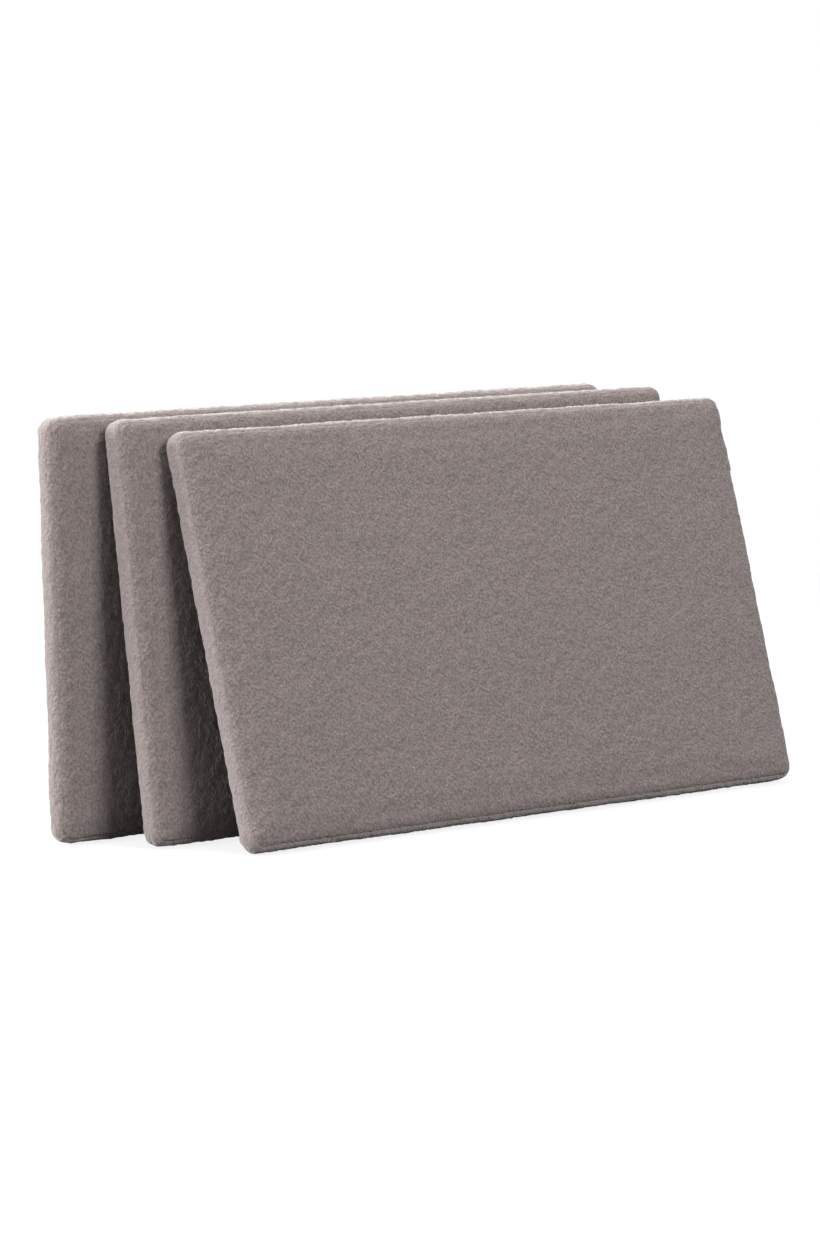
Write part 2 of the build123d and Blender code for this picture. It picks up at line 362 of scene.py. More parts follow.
@dataclass(frozen=True)
class Plush:
    """Short teddy pile: small upright tufts, with painted shade darkening the gaps between them
    and a painted highlight on their paler tips.
    """

    name: str
    colour: tuple[float, float, float]
    tuft: tuple[float, float, float]
    # How far the ramp darkens the gaps (painted shade) and lightens the tips (painted highlight).
    contrast: float
    relief: float
    sheen: float

    def material(self) -> bpy.types.Material:
        """Returns the pile's material."""
        n = Nodes(self.name)
        fill(n.shader, {"Roughness": 0.95, "Specular IOR Level": 0.15})
        fill(n.shader, {"Sheen Weight": self.sheen, "Sheen Roughness": 0.6})
        fill(n.shader, {"Sheen Tint": (1.0, 0.99, 0.97, 1.0)})
        cells = n.tufts(self.tuft)
        curl = n.grain([0.9 * s for s in self.tuft], 2.0, 0.55)
        hairs = n.grain([0.3 * s for s in self.tuft], 2.0, 0.6)
        nap = n.grain((0.07, 0.07, 0.05), 1.0)
        height = n.sum_up((cells, -0.7), (curl, 1.1), (hairs, 0.25))
        # Painted shade and highlight: the colour darkens away from each tuft's middle and lightens
        # on its tips, standing in for the tufts' own shade; the wide nap noise is real patchiness.
        tone_with_painted_tuft_shade = n.sum_up((cells, -0.45), (curl, 0.9), (hairs, 0.3), (nap, 0.08))
        colour = n.ramp(
            tone_with_painted_tuft_shade,
            [
                (0.22, shade(self.colour, 1 - self.contrast)),
                (0.44, self.colour),
                (0.66, shade(self.colour, 1 + self.contrast)),
            ],
        )
        n.dress(colour, height, self.relief, 1.0)
        return n.material


@dataclass(frozen=True)
class Spun:
    """Twisted sewing thread."""

    name: str
    colour: tuple[float, float, float]

    def material(self) -> bpy.types.Material:
        """Returns the thread's material."""
        n = Nodes(self.name)
        fill(n.shader, {"Roughness": 0.8})
        ply = n.grain((0.0009, 0.0009, 0.0016), 2.0)
        colour = n.ramp(ply, [(0.3, shade(self.colour, 0.8)), (0.7, shade(self.colour, 1.2))])
        n.dress(colour, ply, 0.0002, 0.8)
        return n.material


@dataclass(frozen=True)
class Plain:
    """A plain finish with a fine grain: foam, cloth, moulded teeth or painted metal."""

    name: str
    colour: tuple[float, float, float]
    roughness: float
    grain: tuple[float, float, float]
    contrast: float
    relief: float
    metal: float = 0.0

    def material(self) -> bpy.types.Material:
        """Returns the finish's material."""
        n = Nodes(self.name)
        fill(n.shader, {"Roughness": self.roughness, "Metallic": self.metal})
        fine = n.grain(self.grain, 3.0, 0.6)
        dark, pale = shade(self.colour, 1 - self.contrast), shade(self.colour, 1 + self.contrast)
        colour = n.ramp(fine, [(0.3, dark), (0.7, pale)])
        n.dress(colour, fine, self.relief, 0.6)
        return n.material


PILE = (0.234, 0.191, 0.185)
FACE_PILE = Plush("face_pile", PILE, (0.0022, 0.0022, 0.0032), 0.27, 0.0014, 0.3)
# Painted light: the side bands' pile is the face pile made 12% lighter, a lit copy of the same
# plush standing in for the extra light that falls on the bands.
BAND_PILE_PAINTED_LIGHTER = Plush("band_pile", shade(PILE, 1.12), (0.0024, 0.0024, 0.0030), 0.16, 0.0009, 0.6)
# The seam thread is a real piece, but its colour, darker than the pile, is also painted shade that
# makes the seam's groove read as a dark line.
SEAM_THREAD = Spun("seam_thread", (0.15, 0.125, 0.118))
FOAM = Plain("foam", (0.78, 0.74, 0.60), 0.95, (0.0012, 0.0012, 0.0012), 0.10, 0.0006)
LINER = Plain("liner_cloth", (0.74, 0.71, 0.68), 0.9, (0.0005, 0.004, 0.0005), 0.06, 0.0001)
TAPE = Plain("zip_tape", (0.133, 0.113, 0.107), 0.85, (0.0005, 0.0005, 0.0011), 0.3, 0.0002)
TEETH = Plain("zip_teeth", (0.107, 0.089, 0.084), 0.4, (0.0016, 0.0016, 0.0016), 0.06, 0.00003)
METAL = Plain("zip_metal", (0.118, 0.100, 0.095), 0.38, (0.004, 0.004, 0.004), 0.08, 0.00003)


# --- The pads ---------------------------------------------------------------------------------


class CoverPart(Enum):
    """The pieces that a pad's cover is cut from, and the mouth between the zip's strips."""

    FRONT_PANEL = 1
    BACK_PANEL = 2
    SIDE_BAND = 3
    ZIP_BAND_FRONT = 4
    ZIP_BAND_BACK = 5
    ZIP_MOUTH = 6

    @property
    def node(self) -> str:
        """The end of the frame node's name that this piece stands for."""
        plain = self.name.lower()
        return plain if plain.startswith("zip") else f"cover_{plain}"

    @property
    def title(self) -> str:
        """The end of the piece's own name."""
        return self.name.lower().replace("zip_band", "zip_strip")


@dataclass(frozen=True)
class PadSizes:
    """Sizes that all the pads share, in metres."""

    length: float = 0.700
    height: float = 0.400
    thickness: float = 0.030
    corner: float = 0.015
    edge: float = 0.013
    wall: float = 0.003
    zip_low: float = 0.040
    zip_high: float = 0.360
    mouth_low: float = 0.009
    mouth_high: float = 0.021
    pin_out: float = 0.3526
    pin_up: float = 0.3462


SIZES = PadSizes()

# The length of the waves in the seams' lines, the same for the cloth and its thread.
SEAM_WAVE = (0.024, 1, 0.024)

# Each finish's material by its name, filled in by main.
DRESSES: dict[str, bpy.types.Material] = {}


def pad_place(pad: str) -> Matrix:
    """Works out where a pad stands from its zip's two joints.

    Args:
        pad: The pad's body name.

    Returns:
        The turn and shift from the pad's own frame to the row's.
    """
    joints = {joint["name"]: joint for joint in frame["joints"]}
    up = -Vector(joints[f"{pad}_zip_run"]["axis"]).normalized()
    back = -Vector(joints[f"{pad}_pull_swing"]["axis"]).normalized()
    along = back.cross(up).normalized()
    pin = Vector(joints[f"{pad}_pull_swing"]["pos_m"])
    foot = pin - along * SIZES.pin_out - back * (SIZES.thickness / 2) - up * SIZES.pin_up
    return Matrix.Translation(foot) @ Matrix((along, back, up)).transposed().to_4x4()


def settle_piece(
    piece: bpy.types.Object, place: Matrix, body: str, finish: str, node: str
) -> None:
    """Lays a finished piece in the row, dresses it and ties it to the frame.

    Args:
        piece: The piece, still in its pad's own frame.
        place: Where the pad stands.
        body: The body that it moves with.
        finish: Its finish's name in DRESSES.
        node: The frame node that it stands for.
    """
    piece.data.transform(place)
    piece.data.materials.clear()
    piece.data.materials.append(DRESSES[finish])
    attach(piece, body)
    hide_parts(node)
    LOG.info("%s: %d faces", piece.name, len(piece.data.polygons))


def round_slab(
    slab: bpy.types.Object, ends: Sequence[float], corner: float, edge: float
) -> None:
    """Rounds a block in edit mode at its four corners and round both its faces.

    Args:
        slab: The block.
        ends: The depths of its front and back faces.
        corner: The radius of its corners.
        edge: The radius of the rims round its faces.
    """
    choose(slab, "edges", lambda e: abs(e.verts[0].co.y - e.verts[1].co.y) > 0.01)
    bpy.ops.mesh.bevel(offset=corner, segments=4, profile=0.5, affect="EDGES")
    bpy.ops.mesh.select_all(action="DESELECT")
    choose(
        slab,
        "edges",
        lambda e: any(all(abs(v.co.y - end) < TOUCH for v in e.verts) for end in ends),
    )
    bpy.ops.mesh.bevel(offset=edge, segments=4, profile=0.5, affect="EDGES")


def beside_zip(middle: Vector) -> bool:
    """Says whether a face's middle is on the zip's side, between the ends of its opening."""
    return middle.x > SIZES.length / 2 - 0.006 and SIZES.zip_low < middle.z < SIZES.zip_high


@dataclass
class Cover:
    """One pad's plush cover: two panels, a side band and the strips beside the zip."""

    pad: str
    seed: int
    place: Matrix
    pile_room: float = 0.0010
    cell: float = 0.008
    seam_gap: float = 0.0016
    steps: int = 20
    most_sunk: float = 0.0003
    most_slip: float = 0.0008
    panel_tuck: float = 0.0014
    strip_tuck: float = 0.0006
    draw_back: float = 0.0001
    tuft_rise: float = 0.0009
    panel_tuft: float = 0.0052
    band_tuft: float = 0.0046
    thread_sunk: float = 0.0021
    thread_radius: float = 0.0005

    @property
    def seam(self) -> float:
        """How far behind a face its seam runs, half way round the rim."""
        return SIZES.edge - (SIZES.edge - self.pile_room) * 0.5**0.5

    def shell(self) -> bpy.types.Object:
        """Makes the cover's whole skin as one closed rounded slab in even cells.

        Returns:
            The skin, each face marked with the piece that it belongs to.
        """
        s, room = SIZES, self.pile_room
        half = s.length / 2 - room
        low, high = (-half, room, room), (half, s.thickness - room, s.height - room)
        corner, edge = s.corner - room, s.edge - room
        skin = add_block(f"{self.pad}_skin", low, high)
        with editing(skin, "EDGE"):
            round_slab(skin, (low[1], high[1]), corner, edge)
            flat = half - corner
            count = round(2 * flat / self.cell)
            for at in np.linspace(-flat, flat, count + 1):
                slice_at((at, 0, 0), (1, 0, 0))
            rows = [*np.linspace(s.corner, s.zip_low, 4)[:-1]]
            rows += [*np.linspace(s.zip_low, s.zip_high, 41)]
            rows += [*np.linspace(s.zip_high, s.height - s.corner, 4)[1:]]
            for at in rows:
                slice_at((0, 0, at), (0, 0, 1))
            for at in (self.seam - self.seam_gap, self.seam + self.seam_gap):
                slice_at((0, at, 0), (0, 1, 0))
                slice_at((0, s.thickness - at, 0), (0, 1, 0))
            for at in (s.mouth_low, s.mouth_high):
                choose(skin, "faces", lambda f: beside_zip(f.calc_center_median()))
                bpy.ops.mesh.bisect(plane_co=(0, at, 0), plane_no=(0, 1, 0))
        self._mark(skin)
        return skin

    def _mark(self, skin: bpy.types.Object) -> None:
        """Marks each face of the skin with its piece's number."""
        s = SIZES
        marks = skin.data.attributes.new("piece", "INT", "FACE")
        for index, face in enumerate(skin.data.polygons):
            middle = face.center
            beside = beside_zip(middle)
            if middle.y < self.seam:
                part = CoverPart.FRONT_PANEL
            elif middle.y > s.thickness - self.seam:
                part = CoverPart.BACK_PANEL
            elif beside and middle.y < s.mouth_low:
                part = CoverPart.ZIP_BAND_FRONT
            elif beside and middle.y > s.mouth_high:
                part = CoverPart.ZIP_BAND_BACK
            elif beside:
                part = CoverPart.ZIP_MOUTH
            else:
                part = CoverPart.SIDE_BAND
            marks.data[index].value = part.value

    def swell(self, skin: bpy.types.Object) -> None:
        """Lets the cloth settle over the foam: it crowns a little and its seams stay drawn in.

        Args:
            skin: The closed skin, moved in place.
        """
        start = places(skin)
        normals = outward(skin)
        front = np.abs(start[:, 1] - self.seam)
        back = np.abs(start[:, 1] - SIZES.thickness + self.seam)
        seam_dist = np.minimum(front, back)
        loose = start + normals * (0.0004 * ripple(start, (0.035, 0.02, 0.03), self.seed))[:, None]
        put(skin, loose)
        held = skin.vertex_groups.new(name="held")
        ruck = skin.vertex_groups.new(name="ruck")
        for index, far in enumerate(seam_dist):
            if far < 0.0004:
                held.add([index], 1.0, "REPLACE")
            ruck.add([index], float(np.exp(-far / 0.012)), "REPLACE")
        cloth = skin.modifiers.new("Cloth", "CLOTH")
        rules = cloth.settings
        rules.quality = 6
        rules.mass = 0.25
        rules.tension_stiffness = rules.compression_stiffness = 12
        rules.shear_stiffness = 4
        rules.bending_stiffness = 0.6
        rules.use_pressure = True
        rules.uniform_pressure_force = 4
        rules.effector_weights.gravity = 0
        rules.vertex_group_mass = "held"
        rules.vertex_group_shrink = "ruck"
        rules.shrink_min = 0.0
        rules.shrink_max = -0.02
        cloth.collision_settings.use_collision = False
        cloth.point_cache.frame_start = 1
        cloth.point_cache.frame_end = self.steps
        for tick in range(1, self.steps + 1):
            bpy.context.scene.frame_set(tick)
        apply_modifier(skin, "Cloth")
        bpy.context.scene.frame_set(1)
        step = places(skin) - start
        along = np.sum(step * normals, axis=1)
        side = step - along[:, None] * normals
        along = np.clip(along, -self.most_sunk, self.pile_room * 0.9)
        length = np.maximum(np.linalg.norm(side, axis=1), 1e-9)
        side *= np.minimum(1.0, self.most_slip / length)[:, None]
        put(skin, start + side + along[:, None] * normals)

    def cut_out(self, skin: bpy.types.Object, part: CoverPart) -> bpy.types.Object:
        """Copies one piece out of the skin.

        Args:
            skin: The marked skin.
            part: Which piece.

        Returns:
            The piece, one open sheet in coarse cells.
        """
        pick(skin)
        bpy.ops.object.duplicate()
        piece = named(bpy.context.object, f"{self.pad}_{part.title}")
        with editing(piece):
            mesh = bmesh.from_edit_mesh(piece.data)
            marks = mesh.faces.layers.int["piece"]
            choose(piece, "faces", lambda f: f[marks] != part.value)
            bpy.ops.mesh.delete(type="FACE")
        piece.vertex_groups.clear()
        return piece

    def hem(self, piece: bpy.types.Object, tuck: float, narrow: float) -> None:
        """Turns a sheet's edges in, as cloth turns at a seam.

        Args:
            piece: The open sheet.
            tuck: How far its edge goes in.
            narrow: How far its edge draws back from its neighbour's.
        """
        normals = outward(piece)
        spots = places(piece)
        with editing(piece, "EDGE"):
            choose(piece, "edges", lambda e: e.is_boundary)
        edge = np.zeros(len(spots), bool)
        middle = np.zeros_like(spots)
        count = np.zeros(len(spots))
        for line in piece.data.edges:
            a, b = line.vertices
            if line.select:
                edge[[a, b]] = True
        for line in piece.data.edges:
            a, b = line.vertices
            if edge[a] != edge[b]:
                rim, inner = (a, b) if edge[a] else (b, a)
                middle[rim] += spots[inner]
                count[rim] += 1
        inward = np.where(count[:, None] > 0, middle / np.maximum(count, 1)[:, None] - spots, 0)
        length = np.maximum(np.linalg.norm(inward, axis=1), 1e-9)
        spots[edge] += (inward / length[:, None] * narrow - normals * tuck)[edge]
        put(piece, spots)

    def lining(self, piece: bpy.types.Object) -> bpy.types.Object:
        """Copies a sheet as its own inner side, one wall further in and facing inwards.

        Args:
            piece: The open sheet.

        Returns:
            The inner sheet.
        """
        pick(piece)
        bpy.ops.object.duplicate()
        inner = bpy.context.object
        put(inner, places(inner) - outward(inner) * (SIZES.wall - self.pile_room))
        with editing(inner):
            bpy.ops.mesh.select_all(action="SELECT")
            bpy.ops.mesh.flip_normals()
        return inner

    def pile(self, piece: bpy.types.Object, seed: int, nub: float, lift: float) -> None:
        """Raises the pile's tufts and the puckers along the seams.

        Args:
            piece: The open sheet in fine cells.
            seed: Which noise.
            nub: The size of the tufts' clumps.
            lift: How high the clumps stand.
        """
        spots, normals = places(piece), outward(piece)
        front = np.abs(spots[:, 1] - self.seam)
        back = np.abs(spots[:, 1] - (SIZES.thickness - self.seam))
        far = np.minimum(front, back) * 1.4
        flat = spots * (1, 0, 1) + np.where(front < back, 0.0, 0.5)[:, None]
        near = np.exp(-far / 0.004)
        wander = 0.0009 * ripple(flat, SEAM_WAVE, self.seed)
        wander += 0.0003 * ripple(flat, (0.008, 1, 0.008), self.seed + 3)
        ruck = 0.5 + 0.5 * ripple(flat, (0.0075, 1, 0.0075), self.seed + 7)
        clump = 0.6 * ripple(spots, (nub, nub, nub * 1.3), seed)
        clump += 0.4 * ripple(spots, (nub * 0.55, nub * 0.55, nub * 0.8), seed + 1)
        wide = ripple(spots, (0.05, 0.05, 0.05), seed + 2)
        rise = lift * (clump + 0.4) * (1 - 0.5 * near) + 0.00025 * wide
        rise -= 0.0009 * ruck * np.exp(-((far - 0.003) ** 2) / 0.003**2)
        spots += normals * rise[:, None]
        spots[:, 1] += wander * near
        put(piece, spots)

    def finish_piece(self, piece: bpy.types.Object, part: CoverPart) -> None:
        """Turns a coarse sheet into a closed plush piece with a wall, in its place.

        Args:
            piece: The open sheet.
            part: Which piece it is.
        """
        inner = self.lining(piece)
        strip = part in (CoverPart.ZIP_BAND_FRONT, CoverPart.ZIP_BAND_BACK)
        self.hem(piece, self.strip_tuck if strip else self.panel_tuck, self.draw_back)
        fine = piece.modifiers.new("Fine", "SUBSURF")
        fine.levels = fine.render_levels = 2
        fine.boundary_smooth = "PRESERVE_CORNERS"
        apply_modifier(piece, "Fine")
        panel = part in (CoverPart.FRONT_PANEL, CoverPart.BACK_PANEL)
        tuft = self.panel_tuft if panel else self.band_tuft
        self.pile(piece, self.seed * 11 + part.value, tuft, self.tuft_rise)
        pick(inner, piece)
        bpy.ops.object.join()
        with editing(piece, "EDGE"):
            choose(piece, "edges", lambda e: e.is_boundary)
            bpy.ops.mesh.bridge_edge_loops()
        smooth_over(piece)
        finish, slot = ("panel", "plush_face") if panel else ("band", "plush_band")
        settle_piece(piece, self.place, self.pad, finish, f"{self.pad}_{part.node}")

    def seam_line(self, skin: bpy.types.Object, front: bool) -> None:
        """Makes the thread that lies at the bottom of a seam, in its place.

        Args:
            skin: The cover's skin.
            front: Whether it is the front seam.
        """
        depth = self.seam if front else SIZES.thickness - self.seam
        pick(skin)
        bpy.ops.object.duplicate()
        name = f"{self.pad}_{'front' if front else 'back'}_seam"
        line = named(bpy.context.object, name)
        put(line, places(line) - outward(line) * self.thread_sunk)
        row = {v.index for v in skin.data.vertices if abs(v.co.y - depth) < 0.0004}
        with editing(line, "VERT"):
            choose(line, "verts", lambda v: v.index not in row)
            bpy.ops.mesh.delete(type="VERT")
        spots = places(line)
        flat = spots * (1, 0, 1) + (0 if front else 0.5)
        spots[:, 1] += 0.0009 * ripple(flat, SEAM_WAVE, self.seed)
        put(line, spots)
        pick(line)
        bpy.ops.object.convert(target="CURVE")
        line.data.bevel_depth = self.thread_radius
        line.data.bevel_resolution = 1
        bpy.ops.object.convert(target="MESH")
        smooth_over(line)
        settle_piece(line, self.place, self.pad, "thread", f"{name}_thread")

    def build(self) -> None:
        """Makes the whole cover and reports each of its pieces."""
        skin = self.shell()
        self.swell(skin)
        for part in CoverPart:
            if part is not CoverPart.ZIP_MOUTH:
                self.finish_piece(self.cut_out(skin, part), part)
        for front in (True, False):
            self.seam_line(skin, front)
        bpy.data.objects.remove(skin)


# --- Inside the cover and the zip -------------------------------------------------------------


@dataclass(frozen=True)
class ZipSizes:
    """Sizes of the zip, in metres from the pad's zipped side and from the zip's middle line."""

    tape_top: float = 0.3478
    tape_thick: float = 0.0007
    tape_reach: float = 0.0068
    slot: float = 0.0006
    row_out: float = 0.0030
    spine: float = 0.0010
    tooth_high: float = 0.0018
    tooth_long: float = 0.0016
    pitch: float = 0.0030
    chain_low: float = 0.048
    chain_high: float = 0.352
    plate_low: float = 0.3499
    plate_top: float = 0.3511
    slider_low: float = 0.3407
    slider_high: float = 0.3517
    half_wide: float = 0.0044
    pull_wide: float = 0.0052
    pull_long: float = 0.0260
    pull_thick: float = 0.0014
    stop_long: float = 0.003
    bottom_stop_long: float = 0.004
    tooth_neck: float = 0.0012
    tooth_waist: float = 0.66
    loop_radius: float = 0.00105
    loop_wire: float = 0.00034
    loop_widen: float = 2.2
    pin_radius: float = 0.0006
    pin_long: float = 0.0044
    eye_up: float = 0.0032
    eye_radius: float = 0.0013

    @property
    def base(self) -> float:
        """Where teeth and stops begin, a little way into the tape."""
        return self.tape_top - 0.0001


ZIP = ZipSizes()


def round_edges(
    obj: bpy.types.Object, width: float, segments: int = 2, degrees: float = 30.0
) -> None:
    """Rounds an object's sharp edges with an applied bevel.

    Args:
        obj: The object.
        width: The bevel's width.
        segments: How many faces it has across.
        degrees: Edges sharper than this are rounded.
    """
    bevel = obj.modifiers.new("Round", "BEVEL")
    bevel.width = width
    bevel.segments = segments
    bevel.limit_method = "ANGLE"
    bevel.angle_limit = np.radians(degrees)
    apply_modifier(obj, "Round")


def merge(name: str, *parts: bpy.types.Object) -> bpy.types.Object:
    """Joins several pieces into one object.

    Args:
        name: The joined piece's name.
        parts: The pieces.

    Returns:
        The joined object.
    """
    pick(*parts)
    bpy.ops.object.join()
    return named(bpy.context.object, name)


def carve(obj: bpy.types.Object, cutter: bpy.types.Object) -> None:
    """Takes a cutter's shape out of an object and removes the cutter."""
    cut = obj.modifiers.new("Carve", "BOOLEAN")
    cut.operation = "DIFFERENCE"
    cut.solver = "EXACT"
    cut.object = cutter
    apply_modifier(obj, "Carve")
    bpy.data.objects.remove(cutter)


def add_rod(
    name: str, middle: Sequence[float], radius: float, length: float, along: str, sides: int
) -> bpy.types.Object:
    """Adds a round rod, with its place in its mesh.

    Args:
        name: The new piece's name.
        middle: Its middle.
        radius: Its radius.
        length: Its length.
        along: The axis that it lies along, X or Y.
        sides: How many sides it has.

    Returns:
        The new object.
    """
    pick()
    turn = {"X": (0, np.pi / 2, 0), "Y": (np.pi / 2, 0, 0)}[along]
    bpy.ops.mesh.primitive_cylinder_add(
        vertices=sides, radius=radius, depth=length, location=middle, rotation=turn
    )
    rod = bpy.context.object
    bpy.ops.object.transform_apply(location=True, rotation=True, scale=True)
    return named(rod, name)


@dataclass
class Core:
    """The foam slab and the thin cloth sleeve round it."""

    pad: str
    seed: int
    place: Matrix
    cell: float = 0.012
    inset: float = 0.0046
    end_room: float = 0.003
    liner_room: float = 0.0006
    liner_wall: float = 0.0004
    liner_mouth: float = 0.010

    def slab(self, name: str, inset: float) -> bpy.types.Object:
        """Makes the cover's rounded shape again, smaller.

        Args:
            name: The new piece's name.
            inset: How much smaller it is all round.

        Returns:
            A closed rounded slab.
        """
        s = SIZES
        low = (-s.length / 2 + inset, inset, inset)
        high = (s.length / 2 - inset - self.end_room, s.thickness - inset, s.height - inset)
        slab = add_block(name, low, high)
        with editing(slab, "EDGE"):
            round_slab(slab, (low[1], high[1]), s.corner - inset, s.edge - inset)
            for axis in (0, 2):
                count = round((high[axis] - low[axis]) / self.cell)
                for at in np.linspace(low[axis] + s.corner, high[axis] - s.corner, count):
                    point, normal = [0.0] * 3, [0.0] * 3
                    point[axis], normal[axis] = at, 1.0
                    slice_at(point, normal)
        return slab

    def build(self) -> None:
        """Makes the foam and its sleeve."""
        foam = self.slab(f"{self.pad}_foam", self.inset)
        spots = places(foam)
        give = 0.0003 * (ripple(spots, (0.03, 0.03, 0.03), self.seed) - 1)
        put(foam, spots + outward(foam) * give[:, None])
        smooth_over(foam)
        settle_piece(foam, self.place, self.pad, "foam", f"{self.pad}_foam_core")

        sleeve = self.slab(f"{self.pad}_liner", self.inset - self.liner_room)
        mouth = SIZES.length / 2 - self.inset - self.end_room - self.liner_mouth
        with editing(sleeve):
            slice_at((mouth, 0, 0), (1, 0, 0))
            choose(sleeve, "faces", lambda f: f.calc_center_median().x > mouth)
            bpy.ops.mesh.delete(type="FACE")
        wall = sleeve.modifiers.new("Wall", "SOLIDIFY")
        wall.thickness = self.liner_wall
        wall.offset = -1
        apply_modifier(sleeve, "Wall")
        spots = places(sleeve)
        crease = 0.00012 * ripple(spots, (0.05, 0.02, 0.012), self.seed + 5)
        face = np.sign(spots[:, 1:2] - SIZES.thickness / 2)
        put(sleeve, spots + np.outer(crease, (0, 1, 0)) * face)
        smooth_over(sleeve, 50)
        settle_piece(sleeve, self.place, self.pad, "liner", f"{self.pad}_core_liner")


@dataclass
class Zip:
    """The zip on a pad's right short side: tapes, teeth, stops, slider and pull."""

    pad: str
    seed: int
    place: Matrix
    middle: float = 0.015

    def across(self, side: int, near: float, far: float) -> tuple[float, float]:
        """Returns the depths of a strip on one side of the zip, lowest first.

        Args:
            side: -1 towards the front face, +1 towards the back face.
            near: Its distance from the zip's middle line.
            far: Its far edge's distance.
        """
        ends = (self.middle + side * near, self.middle + side * far)
        return min(ends), max(ends)

    def tape(self, side: int) -> bpy.types.Object:
        """Makes one tape: a thin block with rounded edges, rippled a little beyond its teeth.

        Args:
            side: Which tape.

        Returns:
            The tape in the pad's frame.
        """
        low, high = self.across(side, ZIP.slot, ZIP.tape_reach)
        top = ZIP.tape_top
        start = (top - ZIP.tape_thick, low, SIZES.zip_low)
        tape = add_block("tape", start, (top, high, SIZES.zip_high))
        with editing(tape):
            for at in np.linspace(SIZES.zip_low, SIZES.zip_high, 81)[1:-1]:
                slice_at((0, 0, at), (0, 0, 1))
            for out in (ZIP.row_out + 0.0008, ZIP.row_out + 0.0014):
                slice_at((0, self.middle + side * out, 0), (0, 1, 0))
        spots = places(tape)
        beyond = np.clip((np.abs(spots[:, 1] - self.middle) - ZIP.row_out - 0.0006) / 0.003, 0, 1)
        wave = ripple(spots, (0.01, 0.05, 0.011), self.seed + side) - 0.6
        spots[:, 0] += beyond * 0.00025 * wave
        put(tape, spots)
        round_edges(tape, 0.00015)
        smooth_over(tape, 60)
        return tape

    def tooth(self, side: int, low: float) -> bpy.types.Object:
        """Moulds one tooth: a block on the tape with a rounded, waisted head.

        Args:
            side: Which row it is for.
            low: The height of its lower edge.

        Returns:
            The tooth.
        """
        near, far = self.across(side, ZIP.slot, ZIP.row_out - ZIP.spine * 0.6)
        top = (ZIP.tape_top + ZIP.tooth_high, far, low + ZIP.tooth_long)
        tooth = add_block("tooth", (ZIP.base, near, low), top)
        with editing(tooth):
            for out in (ZIP.slot + 0.0007, ZIP.slot + ZIP.tooth_neck):
                slice_at((0, self.middle + side * out, 0), (0, 1, 0))
        spots = places(tooth)
        out = np.abs(spots[:, 1] - self.middle)
        centre = low + ZIP.tooth_long / 2
        neck = np.abs(out - ZIP.slot - ZIP.tooth_neck) < TOUCH
        waist = np.where(neck, ZIP.tooth_waist, 1.0)
        spots[:, 2] = centre + (spots[:, 2] - centre) * waist
        put(tooth, spots)
        round_edges(tooth, 0.00022, 1)
        return tooth

    def row(self, side: int) -> bpy.types.Object:
        """Copies the tooth along its spine.

        Args:
            side: Which row.

        Returns:
            The whole row of teeth.
        """
        count = int((ZIP.chain_high - ZIP.chain_low) / ZIP.pitch)
        low = ZIP.chain_high - count * ZIP.pitch
        if side > 0:
            low, count = low + ZIP.pitch / 2, count - 1
        tooth = self.tooth(side, low)
        array = tooth.modifiers.new("Row", "ARRAY")
        array.count = count
        array.use_relative_offset = False
        array.use_constant_offset = True
        array.constant_offset_displace = (0, 0, ZIP.pitch)
        apply_modifier(tooth, "Row")
        near, far = self.across(side, ZIP.row_out - ZIP.spine, ZIP.row_out)
        spine = add_block(
            "spine",
            (ZIP.base, near, ZIP.chain_low + 0.001),
            (ZIP.tape_top + ZIP.tooth_high * 0.72, far, ZIP.chain_high),
        )
        round_edges(spine, 0.0003, 3)
        teeth = merge("teeth", tooth, spine)
        smooth_over(teeth, 50)
        return teeth

    def stops(self) -> bpy.types.Object:
        """Makes the two top stops and the bottom stop as rounded blocks on the tapes at the ends
        of the teeth.

        Returns:
            The three stops as one piece.
        """
        parts = []
        base, top, high = ZIP.base, ZIP.tape_top + ZIP.tooth_high, ZIP.chain_high
        for side in (-1, 1):
            near, far = self.across(side, ZIP.slot, ZIP.row_out)
            parts.append(add_block("stop", (base, near, high), (top, far, high + ZIP.stop_long)))
        near, far = self.middle - ZIP.row_out, self.middle + ZIP.row_out
        low = ZIP.chain_low - ZIP.bottom_stop_long
        parts.append(add_block("stop", (base, near, low), (top, far, ZIP.chain_low)))
        for part in parts:
            ends = [v.co.z for v in part.data.vertices]
            with editing(part):
                for share in (0.34, 0.66):
                    slice_at((0, 0, min(ends) + share * (max(ends) - min(ends))), (0, 0, 1))
                choose(
                    part, "faces", lambda f: f.normal.x > 0.9 and 0.3 < self._share(f, ends) < 0.7
                )
                bpy.ops.mesh.inset(thickness=0.00025, depth=-0.0003)
            round_edges(part, 0.00012, 2)
        stops = merge("stops", *parts)
        smooth_over(stops, 50)
        return stops

    @staticmethod
    def _share(face: bmesh.types.BMFace, ends: Sequence[float]) -> float:
        """Returns how far up between the ends a face's middle lies, from 0 to 1."""
        return (face.calc_center_median().z - min(ends)) / (max(ends) - min(ends))

